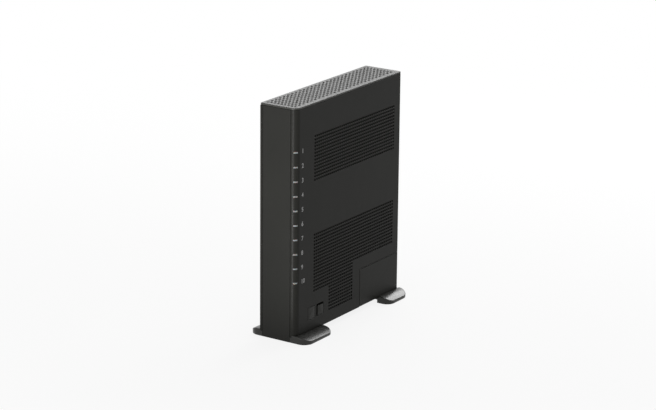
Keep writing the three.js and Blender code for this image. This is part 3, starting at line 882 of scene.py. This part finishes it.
for middle in tongue_levels:
    slab(tongue, middle - tongue_half, middle + tongue_half, into=tongues)
piece(
    "bay_cover",
    worked(slab(cover_plan, cover_low.z, cover_high.z, foot=0.3, head=0.35), ("UNION", tongues)),
    cover_finish, body="cover", replaces=["cable_cover"],
)


# ---- Top grille ----
# A moulded plate with the body's outline and staggered rows of round holes, large and small by
# turns, over its whole length. A thin skirt under it drops inside the shells, and the holes
# behind the rear panel are blind.
grille_low, grille_high = node_box("top_grille")
grille_plate = 1.8
plate_bottom = grille_high.z - grille_plate
grille_corner = 7
body_plan = fillet(
    (body_left, body_front, edge_round),
    (body_right, body_front, grille_corner),
    (body_right, body_rear, edge_round),
    (body_left, body_rear, edge_round),
)
grille_pitch_x = 4.03
grille_pitch_y = 3.48
grille_radii = (1.48, 1.04)
grille_first = (body_left + 5.05, body_front + 6.6)
grille_rows = 52
grille_columns = 9
skirt_side = 3.2
skirt_thick = 1.2
skirt_left, skirt_right = body_left + skirt_side, body_right - skirt_side
skirt_front, skirt_rear = body_front + 8, body_rear - 13
skirt = slab(
    rounded_box(skirt_left, skirt_right, skirt_front, skirt_rear, 1.0),
    grille_low.z, plate_bottom + 0.4, foot=0.2, head=0,
)
skirt_hollow = rounded_box(
    skirt_left + skirt_thick, skirt_right - skirt_thick,
    skirt_front + skirt_thick, skirt_rear - skirt_thick, 0.6,
)
blind_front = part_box("rear_panel")[1].y / MM + 0.3
blind_end = slab(
    rounded_box(skirt_left, skirt_right, blind_front, body_rear - lip_depth - 0.3, 0.6),
    plate_bottom - 3, plate_bottom + 0.4, foot=0.2, head=0,
)
round_holes = bmesh.new()
for row in range(grille_rows):
    shift = row % 2
    radius = grille_radii[shift]
    for column in range(grille_columns - shift):
        centre = (
            grille_first[0] + (column + shift / 2) * grille_pitch_x,
            grille_first[1] + row * grille_pitch_y,
        )
        rings = [
            (circle(centre, radius, 16), grille_low.z + 2),
            (circle(centre, radius, 16), grille_high.z - 0.08),
            (circle(centre, radius + 0.18, 16), grille_high.z + 0.1),
        ]
        loft(rings, into=round_holes)
grille_finish = moulded("grille_plastic", tone=0.024, roughness=0.4, grain=0.35, specular=0.3)
piece(
    "top_cover",
    worked(
        skirt,
        ("DIFFERENCE", loft([(skirt_hollow, grille_low.z - 1), (skirt_hollow, plate_bottom)])),
        ("UNION", slab(body_plan, plate_bottom, grille_high.z, foot=0.2, head=0.45)),
        ("UNION", blind_end),
        ("DIFFERENCE", round_holes),
    ),
    grille_finish, replaces=["top_grille"],
)


# ---- Saddle feet ----
# Two moulded feet across the body's underside, screwed up into the base plate. Their wings curve
# down outwards and fall a little to the rear, and have broad plan corners and a crisp edge.
foot_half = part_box("front_foot")[1].x / MM
foot_bottom = 0.1
foot_edge = 0.7
foot_root = 7.8
foot_tip = 3.6
foot_fall = 0.028
foot_recess = 9
foot_corners = {"front_foot": (10.5, 9.5), "rear_foot": (9, 13)}
seat_top = 14
foot_finish = moulded("foot_plastic", tone=0.016, roughness=0.3, grain=0.4, specular=0.32)


def spread(count):
    """Shares from 0 to 1 that crowd towards 0, as the points of a quarter round do."""
    return [1 - math.cos(math.pi / 2 * i / count) for i in range(count + 1)]


def foot_blank(front, rear, front_corner, rear_corner):
    """The solid of one foot before it is cut for the body, with its top as a grid of heights."""
    stations = [front + front_corner * share for share in spread(12)]
    middle = 9
    gap = (rear - rear_corner - stations[-1]) / middle
    stations += [stations[-1] + gap * (i + 1) for i in range(middle - 1)]
    stations += [rear - rear_corner * share for share in reversed(spread(12))]
    reach = foot_half - body_right
    shares = [share * foot_edge / reach for share in spread(6)]
    shares += [0.08 + 0.092 * i for i in range(11)]

    def corner_of(y):
        """The corner radius at the nearer end, and how far y is into that corner."""
        if y > (front + rear) / 2:
            return rear_corner, max(0.0, y - rear + rear_corner)
        return front_corner, max(0.0, front + front_corner - y)

    def height(x, y):
        radius, into = corner_of(y)
        aside = abs(x) - (foot_half - radius)
        depth = min(foot_half - abs(x), y - front, rear - y)
        if aside > 0 and into > 0:
            depth = radius - math.hypot(aside, into)
        out = max(0.0, abs(x) - body_right) / reach
        surface = foot_root + (foot_tip - foot_root) * out ** 2 - foot_fall * (y - front)
        dip = max(0.0, foot_edge - max(0.0, depth))
        return surface - foot_edge + math.sqrt(foot_edge ** 2 - dip ** 2)

    solid = bmesh.new()
    grid = []
    for y in stations:
        radius, into = corner_of(y)
        width = foot_half - radius + math.sqrt(max(0.0, radius ** 2 - into ** 2))
        wing = [width - share * (width - body_right) for share in shares]
        across = [-x for x in wing] + [-14, -7, 0, 7, 14] + wing[::-1]
        grid.append([solid.verts.new(Vector((x, y, height(x, y))) * MM) for x in across])
    for near, far in zip(grid, grid[1:]):
        for i in range(len(near) - 1):
            solid.faces.new((near[i], near[i + 1], far[i + 1], far[i]))
    rim = grid[0] + [row[-1] for row in grid[1:]]
    rim += grid[-1][-2::-1] + [row[0] for row in grid[-2:0:-1]]
    plan = [Vector((vert.co.x, vert.co.y)) / MM for vert in rim]
    upper = rim
    for distance, z in ((0.0, foot_bottom + 0.3), (0.12, foot_bottom + 0.07), (0.3, foot_bottom)):
        lower = [solid.verts.new(place(*point, z, "z")) for point in inset(plan, distance)]
        for i in range(len(rim)):
            solid.faces.new((lower[i - 1], lower[i], upper[i], upper[i - 1]))
        upper = lower
    solid.faces.new(reversed(upper))
    return solid


def foot_cutters(node, open_rear):
    """What is taken out of a foot: the body's seat, the front panel's notch or the recess under the
    body, the pads' pockets and the screw holes."""
    low, high = node_box(node)
    seat_plan = inset(body_plan, -GAP)
    cutters = [loft([(seat_plan, shell_bottom - GAP), (seat_plan, seat_top)])]
    if open_rear:
        way_out = rounded_box(body_left - GAP, body_right + GAP, body_rear - 5, body_rear + 9, 0)
        cutters.append(loft([(way_out, shell_bottom - GAP), (way_out, seat_top)]))
        recess = rounded_box(body_left + 1.5, body_right - 1.5, low.y - 9, low.y + foot_recess, 1.5)
        cutters.append(loft([(recess, -1), (recess, 9)]))
    else:
        notch = rounded_box(seam_left, seam_right, body_front - 1, body_front + 2.3, 0)
        cutters.append(loft([(notch, -1), (notch, shell_bottom)]))
    end = node.split("_")[0]
    pockets = bmesh.new()
    for side in ("left", "right"):
        pad_low, pad_high = node_box(f"{end}_pad_{side}")
        pocket = rounded_box(
            pad_low.x - GAP, pad_high.x + GAP, pad_low.y - GAP, pad_high.y + GAP, 0.8,
        )
        loft([(pocket, -1), (pocket, pad_high.z + GAP)], into=pockets)
    for i in range(4):
        screw_low, screw_high = node_box(f"foot_screw_{i + 1}")
        centre = ((screw_low.x + screw_high.x) / 2, (screw_low.y + screw_high.y) / 2)
        if low.y < centre[1] < high.y:
            sunk_hole = ((3.4, -1), (3.4, 3.2), (1.8, 3.21), (1.8, 12))
            loft([(circle(centre, radius, 32), z) for radius, z in sunk_hole], into=pockets)
    cutters.append(pockets)
    return [("DIFFERENCE", cutter) for cutter in cutters]


for node, name in (("front_foot", "front_saddle"), ("rear_foot", "rear_saddle")):
    low, high = node_box(node)
    blank = foot_blank(low.y, high.y, *foot_corners[node])
    piece(
        name, worked(blank, *foot_cutters(node, open_rear=node == "rear_foot")),
        foot_finish, replaces=[node],
    )


# ---- Rubber pads ----
# Strips of soft black rubber, glued in shallow pockets under the wings of the feet. The modem
# stands on them.
rubber = Finish("pad_rubber")
dust = rubber.noise(1.4, 3)
skin = rubber.noise(0.3, 2)
rubber_finish = rubber.surface(
    Base_Color=rubber.mix(dust, grey(0.014), grey(0.03)),
    Roughness=0.78 + (skin - 0.5) * 0.15,
    Specular_IOR_Level=0.3,
    Normal=rubber.bump(skin, 0.03),
)
for end in ("front", "rear"):
    for side in ("left", "right"):
        node = f"{end}_pad_{side}"
        low, high = node_box(node)
        plan = rounded_box(low.x, high.x, low.y, high.y, 0.8)
        piece(
            f"rubber_foot_{end}_{side}", mesh_of(slab(plan, low.z, high.z, foot=0.3, head=0.1)),
            rubber_finish, replaces=[node],
        )


# ---- Screws ----
# Zinc-plated pan-head screws with a cross recess: four up through the feet into the base plate,
# and two through the rear panel into the left shell.
head_tall = 1.8
head_radius = 2.8
shank_radius = 1.3


def pan_screw(length):
    """A screw along +Z from the underside of its head, at the origin."""
    sections = [
        (math.sin(a) * head_radius, -0.7 - math.cos(a) * (head_tall - 0.7))
        for a in (0.25, 0.6, 0.9, 1.2, math.pi / 2)
    ]
    sections += [(head_radius, -0.1), (head_radius - 0.1, 0), (shank_radius, 0.01)]
    sections += [(shank_radius, length - 0.8), (0.6, length)]
    blank = loft([(circle((0, 0), radius, 32), z) for radius, z in sections])
    slots_across = []
    for mouth, end in (((1.6, 0.42), (0.9, 0.3)), ((0.42, 1.6), (0.3, 0.9))):
        rings = [
            (rounded_box(-wide, wide, -high, high, 0), z)
            for (wide, high), z in ((mouth, -3), (end, -0.8))
        ]
        slots_across.append(("DIFFERENCE", loft(rings)))
    return worked(blank, *slots_across)


for i in range(4):
    low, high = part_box(f"foot_screw_{i + 1}")
    middle = (low + high) / 2
    seat = Vector((middle.x, middle.y, low.z + head_tall * MM))
    piece(
        f"foot_bolt_{i + 1}", pan_screw((high.z - seat.z) / MM), screw_zinc,
        replaces=[f"foot_screw_{i + 1}"], matrix=Matrix.Translation(seat),
    )
for i in range(2):
    low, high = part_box(f"case_screw_{i + 1}")
    middle = (low + high) / 2
    seat = Vector((middle.x, high.y - head_tall * MM, middle.z))
    turned = Matrix.Translation(seat) @ Matrix.Rotation(math.pi / 2, 4, "X")
    piece(
        f"case_bolt_{i + 1}", pan_screw((seat.y - low.y) / MM), screw_zinc,
        replaces=[f"case_screw_{i + 1}"], matrix=turned,
    )


# ---- Printed numbers ----
# Plain numbers in pale ink, pad printed on the right side, one beside each indicator window.
# The ink stands up by a hair.
ink = Finish("pale_ink")
fade = ink.noise(0.6, 2)
ink_finish = ink.surface(
    Base_Color=ink.mix(fade, grey(0.3), grey(0.4)),
    Roughness=0.5 + fade * 0.1,
    Specular_IOR_Level=0.2,
)
number_tall = 4.6
number_back = 9.6
for i, level in enumerate(window_levels):
    number = bpy.data.curves.new(f"number_{i + 1}", "FONT")
    number.body = str(i + 1)
    number.size = number_tall * 1.4 * MM
    number.align_x = "LEFT"
    number.align_y = "CENTER"
    number.offset = 0.11 * MM
    number.extrude = 0.01 * MM
    number.resolution_u = 6
    number.materials.append(ink_finish)
    printed = bpy.data.objects.new(f"printed_number_{i + 1}", number)
    bpy.context.scene.collection.objects.link(printed)
    printed.matrix_world = (
        Matrix.Translation(Vector((body_right + 0.012, body_front + number_back, level)) * MM)
        @ Matrix(((0, 0, 1, 0), (1, 0, 0, 0), (0, 1, 0, 0), (0, 0, 0, 1)))
    )
    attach(printed, "modem")


# ---- Floor, backdrop and lights ----
# A plain white floor under soft light: two broad boxes behind and above, a weaker one in front,
# and pale cards on the floor that give the round corner its upright highlight.
floor_half = 9.0
floor_solid = bmesh.new()
floor_solid.faces.new([
    floor_solid.verts.new((x * floor_half, y * floor_half, -0.00005))
    for x, y in ((-1, -1), (1, -1), (1, 1), (-1, 1))
])
floor = bpy.data.objects.new("floor", mesh_of(floor_solid))
bpy.context.scene.collection.objects.link(floor)
floor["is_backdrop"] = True


def seen_rays(tree):
    """1 for a ray from the camera or one that is mirrored or passed through, otherwise 0."""
    paths = [tree.node("LightPath", out=kind) for kind in (
        "Is Camera Ray", "Is Glossy Ray", "Is Transmission Ray",
    )]
    return paths[0].maths("MAXIMUM", paths[0].maths("MAXIMUM", paths[0], paths[1]), paths[2])


sweep = Finish("floor_white")
from_middle = sweep.node(
    "VectorMath", {"operation": "LENGTH"}, {0: sweep.coordinates()}, out="Value",
)
fade_far = sweep.node(
    "MapRange", {"interpolation_type": "SMOOTHSTEP"},
    {"Value": from_middle, "From Min": 0.25, "From Max": 1.1, "To Min": 0.86, "To Max": 1.0},
)
paper = sweep.node("BsdfDiffuse", {}, {"Color": grey(0.82)})
glow = sweep.node("Emission", {}, {"Color": grey(1.0), "Strength": 1.0})
both = sweep.node("MixShader", {}, {0: seen_rays(sweep) * fade_far, 1: paper, 2: glow})
sweep.node("OutputMaterial", {}, {"Surface": both})
floor.data.materials.append(sweep.owner)

world = bpy.data.worlds.new("studio")
bpy.context.scene.world = world
sky = Finish("studio", world)
world_level = 0.4
sky_strength = world_level + seen_rays(sky) * (1 - world_level)
background = sky.node("Background", {}, {"Color": grey(1.0), "Strength": sky_strength})
sky.node("OutputWorld", {}, {"Surface": background})


def softbox(name, azimuth, elevation, distance, width, height, power, aim=(0, 0, 0.12)):
    """A box light round the modem. Azimuth 0 is straight in front, and grows to the right."""
    lamp = bpy.data.lights.new(name, "AREA")
    lamp.shape = "RECTANGLE"
    lamp.size = width
    lamp.size_y = height
    lamp.energy = power
    turn_by, rise = math.radians(azimuth), math.radians(elevation)
    flat = math.cos(rise)
    way = Vector((math.sin(turn_by) * flat, -math.cos(turn_by) * flat, math.sin(rise)))
    light = bpy.data.objects.new(name, lamp)
    light.location = Vector(aim) + way * distance
    light.rotation_mode = "QUATERNION"
    light.rotation_quaternion = way.to_track_quat("Z", "Y")
    light.visible_camera = False
    bpy.context.scene.collection.objects.link(light)
    return light


softbox("back_box", 200, 34, 1.6, 1.6, 0.6, 11)
softbox("low_back_box", 178, 28, 1.6, 1.0, 0.6, 10)
softbox("front_box", 0, 8, 1.6, 0.9, 0.5, 11)

card_azimuth = math.radians(4)
card_ends = (0.09, 0.2, 0.4, 0.8)
card_spread = 0.25
card_glows = (58, 43, 96)
card_lift = 0.002
for near, far, glow in zip(card_ends, card_ends[1:], card_glows):
    middle = (near + far) / 2
    card = softbox("floor_card", 0, 0, 0, middle * card_spread, far - near, 0)
    card.data.energy = glow * card.data.size * card.data.size_y
    card.location = (
        corner_centre[0] * MM + math.sin(card_azimuth) * middle,
        body_front * MM - math.cos(card_azimuth) * middle,
        card_lift,
    )
    card.rotation_quaternion = (
        Matrix.Rotation(card_azimuth, 3, "Z") @ Matrix.Rotation(math.pi, 3, "X")
    ).to_quaternion()

bpy.context.scene.view_settings.view_transform = "Standard"

low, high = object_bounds()
